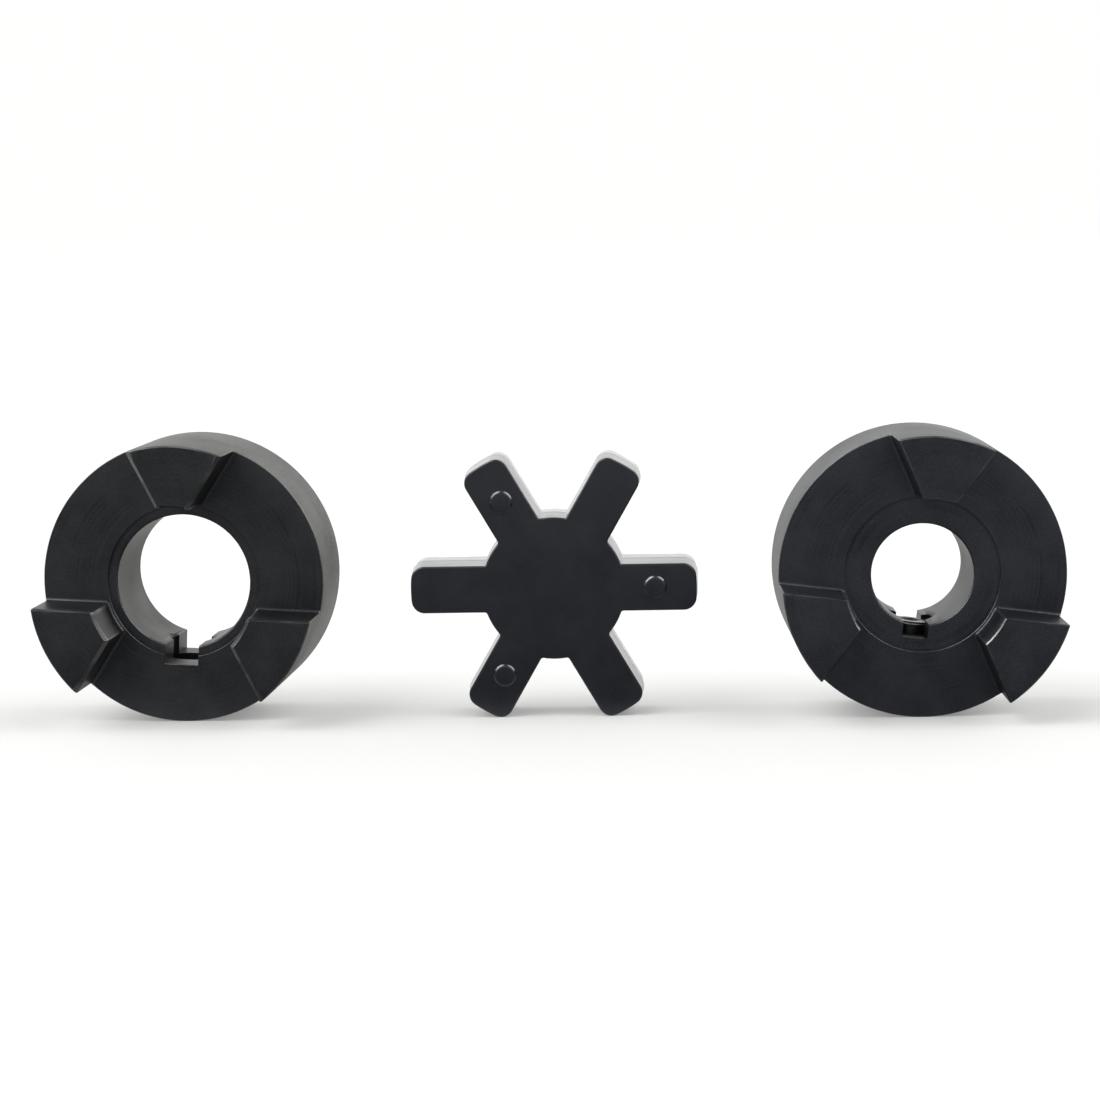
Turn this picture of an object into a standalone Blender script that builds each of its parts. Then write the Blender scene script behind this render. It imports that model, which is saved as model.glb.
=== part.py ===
"""Three-jaw coupling set: two pressed-iron hubs and the rubber spider that goes between them, stood apart.

Each hub is one pressed and turned piece: a round body with a keyed bore, and three jaws on its front face.
The jaws of the two hubs alternate between the spider's six legs when the coupling is closed, so the jaw
walls run parallel to the legs, and the gaps in both hubs are made from the leg's width and a clearance.
A headless set screw over each keyway holds the hub on its key.
"""

import math

import bmesh
import bpy
from mathutils import Vector

MM = 0.001

# Hub, the same on both sides of the coupling
HUB_RADIUS = 26.8 * MM
HUB_LENGTH = 20.6 * MM
HUB_FACE_GAP = 12.95 * MM  # between the two hubs' base faces when the coupling is closed
JAW_TIP_CLEARANCE = 0.75 * MM
JAW_INNER_RADIUS = 15.2 * MM
JAW_ROOT_FILLET = 0.6 * MM
JAW_EDGE_CHAMFER = 0.3 * MM
RELIEF_RADIUS = 14.5 * MM  # shallow turned recess round the bore
RELIEF_DEPTH = 0.4 * MM
BACK_RIM_CHAMFER = 0.6 * MM
BORE_CHAMFER = 0.25 * MM

# Bore, key and standing place of each hub
LEFT_BORE_RADIUS = 12.7 * MM
LEFT_KEY_WIDTH = 6.35 * MM
LEFT_KEY_DEPTH = 3.2 * MM  # below the bore's wall, at the middle of the key
LEFT_TURN = math.radians(-5.2)
LEFT_ROLL = math.radians(-3.1)
LEFT_SET_BACK = 6.0 * MM
LEFT_GAP = 16.35 * MM
RIGHT_BORE_RADIUS = 9.525 * MM
RIGHT_KEY_WIDTH = 4.76 * MM
RIGHT_KEY_DEPTH = 2.5 * MM
RIGHT_TURN = math.radians(-0.5)
RIGHT_ROLL = math.radians(-7.5)
RIGHT_SET_BACK = -5.3 * MM
RIGHT_GAP = 14.35 * MM

# Set screw and its tapped hole, which is a plain bore here
SCREW_RADIUS = 3.97 * MM
SCREW_LENGTH = 7.94 * MM
SCREW_CLEARANCE = 0.3 * MM
SCREW_CHAMFER = 0.4 * MM
SCREW_CUP_RADIUS = 2.3 * MM
SCREW_CUP_DEPTH = 0.9 * MM
SCREW_SOCKET_WIDTH = 3.97 * MM  # across the flats of the hexagon
SCREW_SOCKET_DEPTH = 3.6 * MM
SCREW_HOLE_MOUTH = 0.6 * MM  # countersink at the bore's wall
LEFT_SCREW_RECESS = 0.6 * MM  # outer end below the hub's rim
RIGHT_SCREW_RECESS = 9.0 * MM  # driven further in, until its point stands in the keyway

# Spider
LEG_COUNT = 6
LEG_WIDTH = 9.4 * MM  # at the parting line
LEG_CLEARANCE = 0.1 * MM  # between a leg and the jaw wall beside it
TIP_OVERHANG = 0.4 * MM  # of a leg's tip past the hub's rim
CORE_CLEARANCE = 1.45 * MM  # from the spider's middle to the jaws' inner faces
TIP_CORNER_RADIUS = 2.7 * MM
SPIDER_EDGE_RADIUS = 0.35 * MM
SPIDER_DRAFT = 0.24 * MM  # mould taper of each half, from the parting line to the face
PIP_RADIUS = 2.2 * MM
PIP_HEIGHT = 0.45 * MM
PIP_EDGE = 0.25 * MM
PIP_CIRCLE_RADIUS = 19.1 * MM
PIP_CLEARANCE = 0.05 * MM  # between the pips and the closed hubs
SPIDER_TURN = math.radians(-2.4)
SPIDER_SET_BACK = 1.95 * MM

# Sizes that follow from the ones above
JAW_COUNT = LEG_COUNT // 2
JAW_HEIGHT = HUB_FACE_GAP - JAW_TIP_CLEARANCE
JAW_WALL_OFFSET = LEG_WIDTH / 2 + LEG_CLEARANCE  # from the leg's middle line to the jaw's wall
SPIDER_TIP_RADIUS = HUB_RADIUS + TIP_OVERHANG
SPIDER_CORE_RADIUS = JAW_INNER_RADIUS - CORE_CLEARANCE
SPIDER_THICKNESS = HUB_FACE_GAP - 2 * (PIP_HEIGHT + PIP_CLEARANCE)
SPIDER_LEAN = math.atan2(SPIDER_DRAFT, SPIDER_THICKNESS / 2)  # it stands on the tapered front of two tips
SCREW_HOLE_RADIUS = SCREW_RADIUS + SCREW_CLEARANCE
SCREW_DEPTH = HUB_LENGTH / 2  # behind the base face

# Facets
ROUND_STEPS = 84
SCREW_STEPS = 36
FILLET_STEPS = 3
OVERRUN = 2.0 * MM  # how far a cutter runs past what it cuts


def clear_scene():
    for obj in list(bpy.data.objects):
        bpy.data.objects.remove(obj, do_unlink=True)


def make_material(name, color, roughness, metallic):
    material = bpy.data.materials.new(name)
    material.use_nodes = True
    shader = material.node_tree.nodes["Principled BSDF"]
    shader.inputs["Base Color"].default_value = (*color, 1.0)
    shader.inputs["Roughness"].default_value = roughness
    shader.inputs["Metallic"].default_value = metallic
    return material


def make_object(name, shape, material=None, parent=None):
    """Turns a bmesh into an object whose faces point out, smooth where the surface is round."""
    bmesh.ops.recalc_face_normals(shape, faces=shape.faces)
    mesh = bpy.data.meshes.new(name)
    shape.to_mesh(mesh)
    shape.free()
    mesh.shade_smooth()
    mesh.set_sharp_from_angle(angle=math.radians(25))
    obj = bpy.data.objects.new(name, mesh)
    bpy.context.scene.collection.objects.link(obj)
    obj.parent = parent
    if material:
        mesh.materials.append(material)
    return obj


def combine(obj, tool, operation):
    """Cuts the tool out of the object, or joins it on, and keeps the tool out of the render."""
    tool.hide_render = True
    tool.display_type = "WIRE"
    boolean = obj.modifiers.new(tool.name, "BOOLEAN")
    boolean.operation = operation
    boolean.solver = "EXACT"
    boolean.object = tool


def arc(center, radius, start, end, steps):
    """Points on an arc from one angle to another, both ends included."""
    angles = [start + (end - start) * i / steps for i in range(steps + 1)]
    return [(center[0] + radius * math.cos(a), center[1] + radius * math.sin(a)) for a in angles]


def turned(profile, steps):
    """A solid turned about Z from (radius, height) points. Points at radius zero close it on the axis."""
    shape = bmesh.new()
    ring = [shape.verts.new((radius, 0, height)) for radius, height in profile]
    closed = profile[0][0] > 0
    edges = [shape.edges.new(pair) for pair in zip(ring, ring[1:])]
    if closed:
        edges.append(shape.edges.new((ring[-1], ring[0])))
    bmesh.ops.spin(
        shape, geom=ring + edges, axis=(0, 0, 1), cent=(0, 0, 0), steps=steps, angle=math.tau
    )
    bmesh.ops.remove_doubles(shape, verts=shape.verts, dist=0.001 * MM)
    return shape


def lofted(levels):
    """A solid through flat outlines at rising heights, given as (outline, height) with equal point counts."""
    shape = bmesh.new()
    rings = [[shape.verts.new((x, y, height)) for x, y in outline] for outline, height in levels]
    for lower, upper in zip(rings, rings[1:]):
        for i in range(len(lower)):
            j = (i + 1) % len(lower)
            shape.faces.new((lower[i], lower[j], upper[j], upper[i]))
    shape.faces.new(rings[0])
    shape.faces.new(rings[-1])
    return shape


def jaw_gap_outline(growth):
    """The space between and inside the jaws, seen from the front, with its walls moved out by growth."""
    offset = JAW_WALL_OFFSET + growth
    inner = JAW_INNER_RADIUS + growth
    outer = HUB_RADIUS + OVERRUN
    leg_pitch = math.tau / LEG_COUNT
    points = []
    for k in range(JAW_COUNT):
        jaw = math.radians(90) + math.tau * k / JAW_COUNT
        # From this jaw's far wall to the next jaw's near wall, each parallel to the leg that it bears on
        first_leg = jaw + leg_pitch / 2
        last_leg = jaw + math.tau / JAW_COUNT - leg_pitch / 2
        start = [first_leg - math.asin(offset / r) for r in (inner, outer)]
        end = [last_leg + math.asin(offset / r) for r in (inner, outer)]
        next_start = start[0] + math.tau / JAW_COUNT
        points += arc((0, 0), outer, start[1], end[1], 6)
        points += arc((0, 0), inner, end[0], next_start, 6)
    return points


def jaw_gap_cutter(name, parent):
    """Clears the space between the jaws down to the base face, rounding the jaws' roots and easing their tips."""
    levels = []
    for i in range(FILLET_STEPS + 1):
        a = math.radians(90) * i / FILLET_STEPS
        growth = -JAW_ROOT_FILLET * (1 - math.sin(a))
        levels.append((jaw_gap_outline(growth), JAW_ROOT_FILLET * (1 - math.cos(a))))
    levels.append((jaw_gap_outline(0), JAW_HEIGHT - JAW_EDGE_CHAMFER))
    flare = JAW_EDGE_CHAMFER + OVERRUN
    levels.append((jaw_gap_outline(flare), JAW_HEIGHT + OVERRUN))
    return make_object(name, lofted(levels), parent=parent)


def hub_blank(bore_radius):
    """The hub before its jaws are cut apart. The base face is at height zero, the jaws' tips above it."""
    c = BORE_CHAMFER
    back = -HUB_LENGTH
    return turned(
        [
            (bore_radius + c, back),
            (HUB_RADIUS - BACK_RIM_CHAMFER, back),
            (HUB_RADIUS, back + BACK_RIM_CHAMFER),
            (HUB_RADIUS, JAW_HEIGHT - JAW_EDGE_CHAMFER),
            (HUB_RADIUS - JAW_EDGE_CHAMFER, JAW_HEIGHT),
            (RELIEF_RADIUS, JAW_HEIGHT),
            (RELIEF_RADIUS, -RELIEF_DEPTH),
            (bore_radius + c, -RELIEF_DEPTH),
            (bore_radius, -RELIEF_DEPTH - c),
            (bore_radius, back + c),
        ],
        ROUND_STEPS,
    )


def keyway_cutter(name, bore_radius, width, depth, parent):
    """A square slot along the whole bore, on the side away from the top jaw."""
    floor = bore_radius + depth
    corners = [(-width / 2, -floor), (width / 2, -floor), (width / 2, 0), (-width / 2, 0)]
    levels = [(corners, -HUB_LENGTH - OVERRUN), (corners, OVERRUN)]
    return make_object(name, lofted(levels), parent=parent)


def screw_hole_cutter(name, bore_radius, parent):
    """The tapped hole from the rim into the keyway, with a countersunk mouth at the bore's wall."""
    mouth = SCREW_HOLE_RADIUS + SCREW_HOLE_MOUTH
    wall = math.sqrt(bore_radius**2 - mouth**2)  # where the bore's wall meets the mouth's edge
    shape = turned(
        [
            (0, 0),
            (mouth, 0),
            (mouth, wall),
            (SCREW_HOLE_RADIUS, wall + SCREW_HOLE_MOUTH),
            (SCREW_HOLE_RADIUS, HUB_RADIUS + OVERRUN),
            (0, HUB_RADIUS + OVERRUN),
        ],
        SCREW_STEPS,
    )
    cutter = make_object(name, shape, parent=parent)
    cutter.location = (0, 0, -SCREW_DEPTH)
    cutter.rotation_euler = (math.radians(90), 0, 0)
    return cutter


def make_set_screw(name, recess, material, hub):
    """A headless screw whose socket faces the rim and whose cup point faces the bore."""
    shape = turned(
        [
            (0, 0),
            (SCREW_RADIUS - SCREW_CHAMFER, 0),
            (SCREW_RADIUS, SCREW_CHAMFER),
            (SCREW_RADIUS, SCREW_LENGTH - SCREW_CHAMFER),
            (SCREW_RADIUS - SCREW_CHAMFER, SCREW_LENGTH),
            (SCREW_CUP_RADIUS, SCREW_LENGTH),
            (0, SCREW_LENGTH - SCREW_CUP_DEPTH),
        ],
        SCREW_STEPS,
    )
    screw = make_object(name, shape, material, hub)
    screw.location = (0, recess - HUB_RADIUS, -SCREW_DEPTH)
    screw.rotation_euler = (math.radians(-90), 0, 0)
    corner_radius = SCREW_SOCKET_WIDTH / math.sqrt(3)
    hexagon = arc((0, 0), corner_radius, 0, math.tau * 5 / 6, 5)
    socket = make_object(
        name + "_socket", lofted([(hexagon, -OVERRUN), (hexagon, SCREW_SOCKET_DEPTH)]), parent=screw
    )
    combine(screw, socket, "DIFFERENCE")
    return screw


def make_hub(name, bore_radius, key_width, key_depth, material, parent):
    hub = make_object(name, hub_blank(bore_radius), material, parent)
    combine(hub, jaw_gap_cutter(name + "_jaw_gaps", hub), "DIFFERENCE")
    combine(hub, keyway_cutter(name + "_keyway", bore_radius, key_width, key_depth, hub), "DIFFERENCE")
    combine(hub, screw_hole_cutter(name + "_screw_hole", bore_radius, hub), "DIFFERENCE")
    return hub


def spider_outline(inset):
    """Six straight legs round a solid middle, moved inwards by inset all along the edge."""
    half = LEG_WIDTH / 2 - inset
    tip = SPIDER_TIP_RADIUS - inset
    core = SPIDER_CORE_RADIUS - inset
    corner = TIP_CORNER_RADIUS - inset
    across = half - corner
    along = math.sqrt((tip - corner) ** 2 - across**2)
    slant = math.atan2(across, along)
    root = math.asin(half / core)
    quarter = math.radians(90)
    pitch = math.tau / LEG_COUNT
    points = []
    for k in range(LEG_COUNT):
        leg = [(core * math.cos(root), -half)]
        leg += arc((along, -across), corner, -quarter, -slant, 5)
        leg += arc((0, 0), tip, -slant, slant, 4)[1:-1]
        leg += arc((along, across), corner, slant, quarter, 5)
        leg += arc((0, 0), core, root, pitch - root, 4)[:-1]
        a = pitch * k
        points += [(x * math.cos(a) - y * math.sin(a), x * math.sin(a) + y * math.cos(a)) for x, y in leg]
    return points


def spider_foot_depth():
    """How far the two lowest legs reach below the spider's centre when it stands on them."""
    corner = TIP_CORNER_RADIUS
    across = LEG_WIDTH / 2 - corner
    along = math.sqrt((SPIDER_TIP_RADIUS - corner) ** 2 - across**2)
    lean = math.tau / LEG_COUNT / 2  # of each lower leg from the vertical
    return along * math.cos(lean) + across * math.sin(lean) + corner


def pip_profile():
    face = SPIDER_THICKNESS / 2
    return [
        (0, face - SPIDER_EDGE_RADIUS),
        (PIP_RADIUS, face - SPIDER_EDGE_RADIUS),
        (PIP_RADIUS, face + PIP_HEIGHT - PIP_EDGE),
        (PIP_RADIUS - PIP_EDGE * 0.3, face + PIP_HEIGHT - PIP_EDGE * 0.3),
        (PIP_RADIUS - PIP_EDGE, face + PIP_HEIGHT),
        (0, face + PIP_HEIGHT),
    ]


def make_spider_pips(name, parent):
    """Three spacing pips on every other leg in front, and three behind on the legs between."""
    shape = bmesh.new()
    pip = bpy.data.meshes.new(name)
    single = turned(pip_profile(), SCREW_STEPS)
    single.to_mesh(pip)
    single.free()
    for k in range(LEG_COUNT):
        before = len(shape.verts)
        shape.from_mesh(pip)
        shape.verts.ensure_lookup_table()
        a = math.tau * k / LEG_COUNT
        side = 1 if k % 2 == 0 else -1
        place = Vector((PIP_CIRCLE_RADIUS * math.cos(a), PIP_CIRCLE_RADIUS * math.sin(a), 0))
        for vert in shape.verts[before:]:
            vert.co.z *= side
            vert.co += place
    bpy.data.meshes.remove(pip)
    return make_object(name, shape, parent=parent)


def make_spider(material, parent):
    face = SPIDER_THICKNESS / 2
    half = []
    for i in range(FILLET_STEPS + 1):
        a = math.radians(90) * i / FILLET_STEPS
        inset = SPIDER_DRAFT + SPIDER_EDGE_RADIUS * (1 - math.sin(a))
        half.append((inset, face - SPIDER_EDGE_RADIUS * (1 - math.cos(a))))
    levels = [(spider_outline(inset), -height) for inset, height in half]
    levels.append((spider_outline(0), 0))
    levels += [(spider_outline(inset), height) for inset, height in reversed(half)]
    spider = make_object("spider", lofted(levels), material, parent)
    combine(spider, make_spider_pips("spider_pips", spider), "UNION")
    return spider


def stand(obj, x, y, z, turn, roll=0.0, lean=0.0):
    """Stands a piece with its front towards -Y, turned about the vertical and rolled about its own axis."""
    obj.location = (x, y, z)
    obj.rotation_euler = (math.radians(90) + lean, -roll, turn)


def center_on_origin(group, nodes):
    """Moves the whole set so that the middle of its bounding box stands over the origin."""
    bpy.context.view_layer.update()
    corners = [node.matrix_world @ vert.co for node in nodes for vert in node.data.vertices]
    for axis in range(2):
        values = [corner[axis] for corner in corners]
        group.location[axis] -= (min(values) + max(values)) / 2


def main():
    clear_scene()
    iron = make_material("black_iron", (0.022, 0.023, 0.026), 0.42, 0.55)
    rubber = make_material("black_rubber", (0.014, 0.016, 0.02), 0.38, 0.0)
    steel = make_material("black_steel", (0.03, 0.03, 0.032), 0.35, 0.9)

    group = bpy.data.objects.new("coupling_set", None)
    bpy.context.scene.collection.objects.link(group)

    spider = make_spider(rubber, group)
    spider_y = SPIDER_SET_BACK + SPIDER_THICKNESS / 2
    spider_z = spider_foot_depth() * math.cos(SPIDER_LEAN)
    stand(spider, 0, spider_y, spider_z, SPIDER_TURN, lean=SPIDER_LEAN)

    hub_left = make_hub("hub_left", LEFT_BORE_RADIUS, LEFT_KEY_WIDTH, LEFT_KEY_DEPTH, iron, group)
    left_x = -(SPIDER_TIP_RADIUS + LEFT_GAP + HUB_RADIUS)
    stand(hub_left, left_x, LEFT_SET_BACK, HUB_RADIUS, LEFT_TURN, LEFT_ROLL)
    screw_left = make_set_screw("set_screw_left", LEFT_SCREW_RECESS, steel, hub_left)

    hub_right = make_hub("hub_right", RIGHT_BORE_RADIUS, RIGHT_KEY_WIDTH, RIGHT_KEY_DEPTH, iron, group)
    right_x = SPIDER_TIP_RADIUS + RIGHT_GAP + HUB_RADIUS
    stand(hub_right, right_x, RIGHT_SET_BACK, HUB_RADIUS, RIGHT_TURN, RIGHT_ROLL)
    screw_right = make_set_screw("set_screw_right", RIGHT_SCREW_RECESS, steel, hub_right)

    center_on_origin(group, [spider, hub_left, screw_left, hub_right, screw_right])


main()
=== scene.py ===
import math

import bmesh
import bpy
from mathutils import Euler, Matrix, Vector


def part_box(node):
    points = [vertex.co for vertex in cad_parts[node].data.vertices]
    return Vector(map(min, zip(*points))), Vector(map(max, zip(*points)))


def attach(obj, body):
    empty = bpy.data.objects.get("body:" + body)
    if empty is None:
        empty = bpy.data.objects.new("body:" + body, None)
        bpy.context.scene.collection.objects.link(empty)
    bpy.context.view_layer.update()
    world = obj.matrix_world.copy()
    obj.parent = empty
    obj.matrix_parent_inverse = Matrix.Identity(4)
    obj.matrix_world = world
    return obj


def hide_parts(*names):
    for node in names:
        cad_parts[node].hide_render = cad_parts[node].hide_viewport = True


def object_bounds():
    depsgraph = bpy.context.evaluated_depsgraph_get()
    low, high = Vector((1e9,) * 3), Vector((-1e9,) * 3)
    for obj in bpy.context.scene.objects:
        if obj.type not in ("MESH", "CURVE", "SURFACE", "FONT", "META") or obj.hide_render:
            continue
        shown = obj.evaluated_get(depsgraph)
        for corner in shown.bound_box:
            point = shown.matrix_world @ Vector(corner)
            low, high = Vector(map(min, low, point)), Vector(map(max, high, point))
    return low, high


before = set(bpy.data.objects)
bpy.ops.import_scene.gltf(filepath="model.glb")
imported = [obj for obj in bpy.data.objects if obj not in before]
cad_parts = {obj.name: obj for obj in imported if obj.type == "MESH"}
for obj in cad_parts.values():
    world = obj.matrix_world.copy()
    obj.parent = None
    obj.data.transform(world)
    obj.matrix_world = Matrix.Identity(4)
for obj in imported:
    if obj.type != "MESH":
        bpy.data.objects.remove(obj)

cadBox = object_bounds()
scene = bpy.context.scene
mm = 0.001
fullTurn = math.tau
halfTurn = math.pi
quarterTurn = math.pi / 2
weld = 0.0005 * mm  # points of a new mesh that are closer than this become one


# Mesh helpers

def rotated(x, y, angle):
    c, s = math.cos(angle), math.sin(angle)
    return x * c - y * s, x * s + y * c


def arcPoints(center, radius, start, end, steps):
    angles = [start + (end - start) * i / steps for i in range(steps + 1)]
    return [(center[0] + radius * math.cos(a), center[1] + radius * math.sin(a)) for a in angles]


def easedProfile(corners, steps=3):
    # Each corner is (radius, height, rounding); a rounded corner becomes a short arc
    points = []
    for i, (x, y, rounding) in enumerate(corners):
        if not rounding:
            points.append((x, y))
            continue
        here = Vector((x, y))
        before = (Vector(corners[i - 1][:2]) - here).normalized()
        after = (Vector(corners[(i + 1) % len(corners)][:2]) - here).normalized()
        half = before.angle(after) / 2
        center = here + (before + after).normalized() * rounding / math.sin(half)
        first = here + before * rounding / math.tan(half) - center
        last = here + after * rounding / math.tan(half) - center
        swing = first.angle_signed(last)
        for k in range(steps + 1):
            turned = Vector(rotated(first.x, first.y, -swing * k / steps))
            points.append(tuple(center + turned))
    return points


def newMesh(name, shape):
    bmesh.ops.remove_doubles(shape, verts=shape.verts, dist=weld)
    bmesh.ops.recalc_face_normals(shape, faces=shape.faces)
    mesh = bpy.data.meshes.new(name)
    shape.to_mesh(mesh)
    shape.free()
    return mesh


def newObject(name, mesh):
    obj = bpy.data.objects.new(name, mesh)
    scene.collection.objects.link(obj)
    return obj


def swapMesh(obj, mesh):
    old, obj.data = obj.data, mesh
    bpy.data.meshes.remove(old)


def latheMesh(name, profile, steps, closed=True):
    # Turned about Z from (radius, height) points; an open profile starts and ends on the axis
    shape = bmesh.new()
    count = len(profile)
    rings = []
    for s in range(steps):
        c, d = math.cos(fullTurn * s / steps), math.sin(fullTurn * s / steps)
        rings.append([shape.verts.new((r * c, r * d, z)) for r, z in profile])
    for s in range(steps):
        near, far = rings[s], rings[(s + 1) % steps]
        for i in range(count if closed else count - 1):
            j = (i + 1) % count
            corners = [near[i], far[i], far[j], near[j]]
            if profile[i][0] == 0:
                corners.remove(far[i])
            if profile[j][0] == 0:
                corners.remove(far[j])
            shape.faces.new(corners)
    return newMesh(name, shape)


def bridgedMesh(name, outlines):
    # A closed solid through outlines of equal point counts, each a list of places
    shape = bmesh.new()
    rings = [[shape.verts.new(point) for point in outline] for outline in outlines]
    for near, far in zip(rings, rings[1:]):
        for i in range(len(near)):
            j = (i + 1) % len(near)
            shape.faces.new((near[i], near[j], far[j], far[i]))
    shape.faces.new(rings[0])
    shape.faces.new(rings[-1])
    return newMesh(name, shape)


def loftMesh(name, levels):
    # The same from flat outlines, each given as (outline, height)
    return bridgedMesh(name, [[(x, y, z) for x, y in outline] for outline, z in levels])


def settle(obj):
    # The object's evaluated shape becomes its plain mesh
    bpy.context.view_layer.update()
    evaluated = obj.evaluated_get(bpy.context.evaluated_depsgraph_get())
    mesh = bpy.data.meshes.new_from_object(evaluated)
    obj.modifiers.clear()
    swapMesh(obj, mesh)


def combine(obj, tools, operation="DIFFERENCE"):
    # Cuts the tools out of the object, or joins them on, and removes them
    for tool in tools:
        change = obj.modifiers.new(tool.name, "BOOLEAN")
        change.operation = operation
        change.solver = "EXACT"
        change.object = tool
    settle(obj)
    for tool in tools:
        bpy.data.objects.remove(tool, do_unlink=True)


# Finish of a piece's mesh: smooth round stretches, crisp flats, and a face attribute for wear

surface = {
    "weld": 0.002 * mm,  # points of the cut mesh that are closer than this become one
    "outwardBend": math.radians(3),  # an edge that bends out by more than this can be rubbed
    "cut": 0.5 * mm,  # half the width of the widest flat cut
    "crispAtFlat": math.radians(4),  # an edge beside a flat stays crisp from this bend on
    "crisp": math.radians(32),  # and any other edge from this one
}


def finishSurface(obj, material, flatArea, narrow, cutWear=0.0):
    # Narrow outer faces get full wear and wider flat cuts get cutWear; narrow is half a width
    shape = bmesh.new()
    shape.from_mesh(obj.data)
    bmesh.ops.remove_doubles(shape, verts=shape.verts, dist=surface["weld"])
    bmesh.ops.recalc_face_normals(shape, faces=shape.faces)
    wear = shape.faces.layers.float.new("wear")
    area = {face: face.calc_area() for face in shape.faces}
    for face in shape.faces:
        face.smooth = True
        longest = max(face.edges, key=lambda edge: edge.calc_length())
        perimeter = sum(edge.calc_length() for edge in face.edges)
        outward = longest.calc_face_angle_signed(0) > surface["outwardBend"]
        halfWidth = area[face] / perimeter
        if outward and halfWidth < surface["cut"]:
            face[wear] = 1.0 if halfWidth < narrow else cutWear
    for edge in shape.edges:
        if len(edge.link_faces) != 2:
            continue
        besideFlat = max(area[face] for face in edge.link_faces) > flatArea
        edge.smooth = edge.calc_face_angle(0) < surface["crispAtFlat" if besideFlat else "crisp"]
    mesh = bpy.data.meshes.new(obj.name)
    shape.to_mesh(mesh)
    shape.free()
    swapMesh(obj, mesh)
    mesh.materials.clear()
    mesh.materials.append(material)


def handIn(obj, place, node):
    # The piece's place goes into its mesh, and the piece takes over from its CAD node
    obj.data.transform(place)
    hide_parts(node)
    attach(obj, "root")
    print(f"{obj.name}: {len(obj.data.polygons)} faces in place of {node}")


def placed(center, turn, roll=0.0, lean=0.0):
    # Front towards -Y, turned about the vertical, rolled about its own axis and leant forwards
    turning = Euler((quarterTurn + lean, -roll, turn))
    return Matrix.Translation(center) @ turning.to_matrix().to_4x4()


# Node helpers

noiseSpan = (0.3, 0.7)  # nearly all values of a noise texture lie here
noiseCore = (0.35, 0.65)  # and most of them here
noiseMiddle = 0.5


def addNode(tree, kind, settings=None, inputs=None):
    node = tree.nodes.new(kind)
    for key, value in (settings or {}).items():
        setattr(node, key, value)
    for key, value in (inputs or {}).items():
        if isinstance(value, bpy.types.NodeSocket):
            tree.links.new(value, node.inputs[key])
        else:
            node.inputs[key].default_value = value
    return node


def mathNode(tree, operation, *values):
    return addNode(tree, "ShaderNodeMath", {"operation": operation}, dict(enumerate(values))).outputs[0]


def chain(tree, operation, *values):
    # Adds or multiplies all the values
    result = values[0]
    for value in values[1:]:
        result = mathNode(tree, operation, result, value)
    return result


def vectorNode(tree, x=0.0, y=0.0, z=0.0):
    return addNode(tree, "ShaderNodeCombineXYZ", None, {0: x, 1: y, 2: z}).outputs[0]


def partsNode(tree, vector):
    return addNode(tree, "ShaderNodeSeparateXYZ", None, {0: vector}).outputs


def dotNode(tree, first, second):
    return addNode(tree, "ShaderNodeVectorMath", {"operation": "DOT_PRODUCT"},
                   {0: first, 1: second}).outputs["Value"]


def rangeNode(tree, value, low, high, toLow, toHigh, smooth=False):
    node = addNode(tree, "ShaderNodeMapRange",
                   {"interpolation_type": "SMOOTHSTEP" if smooth else "LINEAR"},
                   {0: value, 1: low, 2: high, 3: toLow, 4: toHigh})
    return node.outputs[0]


def colourMix(tree, factor, first, second):
    first, second = (colour if isinstance(colour, bpy.types.NodeSocket) else (*colour, 1.0)
                     for colour in (first, second))
    mix = addNode(tree, "ShaderNodeMix", {"data_type": "RGBA"}, {0: factor, 6: first, 7: second})
    return mix.outputs[2]


def noiseNode(tree, vector, size, detail, roughness):
    # size is the width of one patch, in metres
    return addNode(tree, "ShaderNodeTexNoise", None, {
        "Vector": vector, "Scale": 1 / size, "Detail": detail, "Roughness": roughness,
    }).outputs[0]


def bumpNodes(tree, layers):
    # One bump on top of the other, each given as (height, depth in metres)
    inputs = {}
    for height, depth in layers:
        bump = addNode(tree, "ShaderNodeBump", None, {"Height": height, "Distance": depth, **inputs})
        inputs = {"Normal": bump.outputs[0]}
    return inputs["Normal"]


def wearNode(tree):
    return addNode(tree, "ShaderNodeAttribute", {"attribute_name": "wear"}).outputs["Fac"]


def newMaterial(name, place):
    # The tree's starting points: the shader, and the place in the piece's own directions
    material = bpy.data.materials.new(name)
    material.use_nodes = True
    tree = material.node_tree
    shader = tree.nodes["Principled BSDF"]
    coordinates = addNode(tree, "ShaderNodeTexCoord").outputs["Object"]
    local = addNode(tree, "ShaderNodeMapping", {"vector_type": "TEXTURE"}, {
        "Vector": coordinates,
        "Location": place.to_translation(),
        "Rotation": place.to_euler(),
    }).outputs[0]
    return material, tree, shader, local


def newTree(name, inputs):
    # A geometry tree with the given inputs, each a name and a kind of socket
    tree = bpy.data.node_groups.new(name, "GeometryNodeTree")
    for direction in ("OUTPUT", "INPUT"):
        tree.interface.new_socket("Geometry", in_out=direction, socket_type="NodeSocketGeometry")
    for label, kind in inputs.items():
        tree.interface.new_socket(label, in_out="INPUT", socket_type="NodeSocket" + kind)
    return tree, addNode(tree, "NodeGroupInput").outputs


def endTree(tree, geometry, material):
    plain = addNode(tree, "GeometryNodeRealizeInstances", None, {0: geometry}).outputs[0]
    painted = addNode(tree, "GeometryNodeSetMaterial", None, {"Geometry": plain, "Material": material})
    addNode(tree, "NodeGroupOutput", None, {0: painted.outputs[0]})
    return tree


def grow(name, tree, values):
    # An object made by a node tree from named values, turned into a plain mesh
    obj = newObject(name, bpy.data.meshes.new(name))
    modifier = obj.modifiers.new(name, "NODES")
    modifier.node_group = tree
    inputs = [item for item in tree.interface.items_tree if item.in_out == "INPUT"]
    sockets = {item.name: item.identifier for item in inputs}
    for key, value in values.items():
        modifier[sockets[key]] = value
    settle(obj)
    return obj


# Camera, fitted to the photograph's view

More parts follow.
